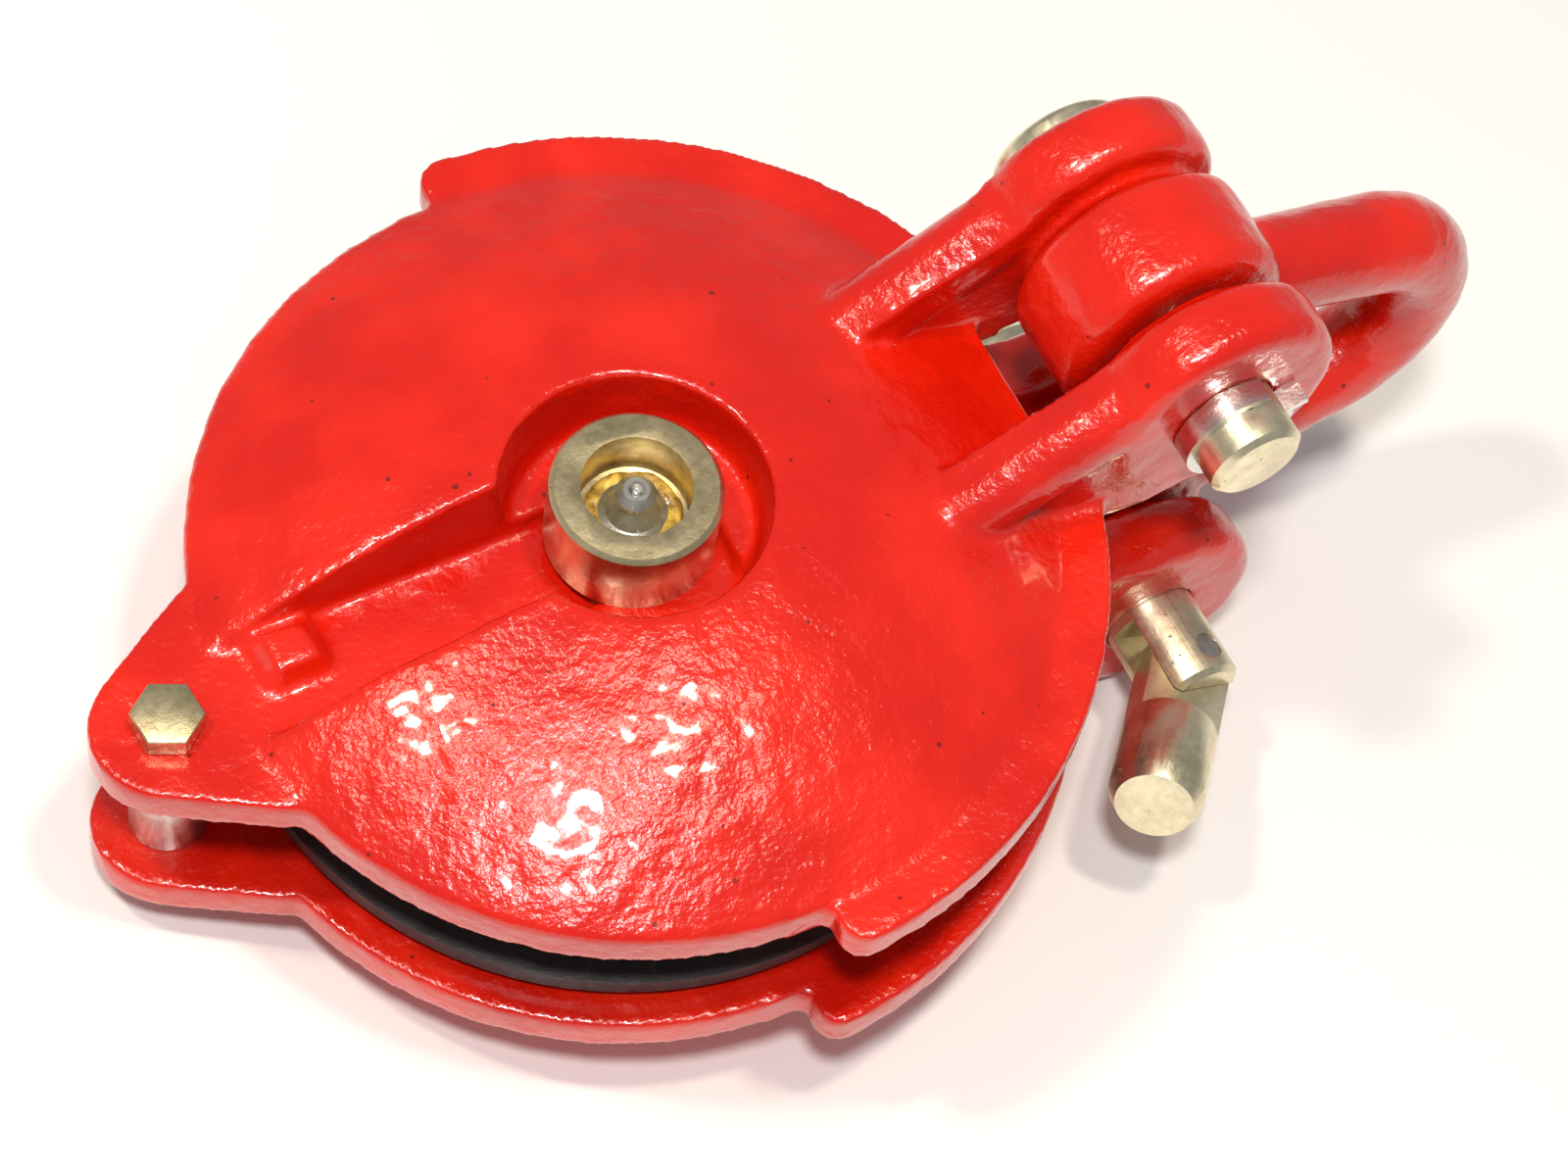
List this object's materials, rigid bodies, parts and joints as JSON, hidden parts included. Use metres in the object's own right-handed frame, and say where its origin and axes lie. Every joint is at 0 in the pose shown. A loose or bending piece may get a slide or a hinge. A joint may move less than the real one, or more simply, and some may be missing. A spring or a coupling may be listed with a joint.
{
  "type": "snatch block",
  "caption": "Cast pulley block with domed cheeks round one grooved rope wheel, a forked head that carries a bow on two pins, one of them with a drop nose lock, and a bolted tail lug.",
  "frame": {"origin": "centre of the rope wheel, on its axis and half way between the two cheeks", "axes": "+X from the wheel's axis towards the bow, +Z along the wheel's axis towards the greased head of its pin, +Y towards the heads of the two bow pins"},
  "size_m": [0.2491, 0.1518, 0.1076],
  "materials": {
    "red_paint": "thick gloss paint over a sand cast skin",
    "wheel_paint": "black satin paint over cast iron",
    "zinc_pin": "turned steel with yellow zinc plate",
    "bright_steel": "bright zinc plate",
    "spring_steel": "bright rolled band",
    "bronze": "turned bronze"
  },
  "bodies": {
    "frame": {"near_cheek": "red_paint", "far_cheek": "red_paint", "near_thrust_washer": "bronze", "far_thrust_washer": "bronze", "sheave_pin": "zinc_pin", "sheave_pin_washer": "bright_steel", "sheave_pin_clip": "spring_steel", "grease_nipple": "bright_steel", "nipple_ball": "bright_steel", "tail_bolt": "zinc_pin", "tail_spacer": "bright_steel", "tail_washer": "bright_steel", "tail_nut": "bright_steel", "cross_pin": "zinc_pin", "cross_pin_clip": "spring_steel"},
    "rope_wheel": {"sheave": "wheel_paint", "sheave_bush": "bronze"},
    "head_bow": {"bow": "red_paint"},
    "lock_pin": {"drop_pin": "zinc_pin", "nose_rivet": "bright_steel"},
    "lock_nose": {"nose": "zinc_pin"}
  },
  "joints": [
    {"name": "wheel_spin", "type": "hinge", "parent": "frame", "child": "rope_wheel", "pos_m": [0, 0, 0], "axis": [0, 0, 1], "continuous": true},
    {"name": "bow_play", "type": "hinge", "parent": "frame", "child": "head_bow", "pos_m": [0.0915, 0, 0.0333], "axis": [0, 1, 0], "range_deg": [-0.3, 0.3]},
    {"name": "lock_pin_slide", "type": "slide", "parent": "frame", "child": "lock_pin", "axis": [0, 1, 0], "range_m": [0, 0.003]},
    {"name": "nose_swing", "type": "hinge", "parent": "lock_pin", "child": "lock_nose", "pos_m": [0.0915, -0.0363, -0.0333], "axis": [0.454, 0, 0.891], "range_deg": [-12, 130]}
  ]
}
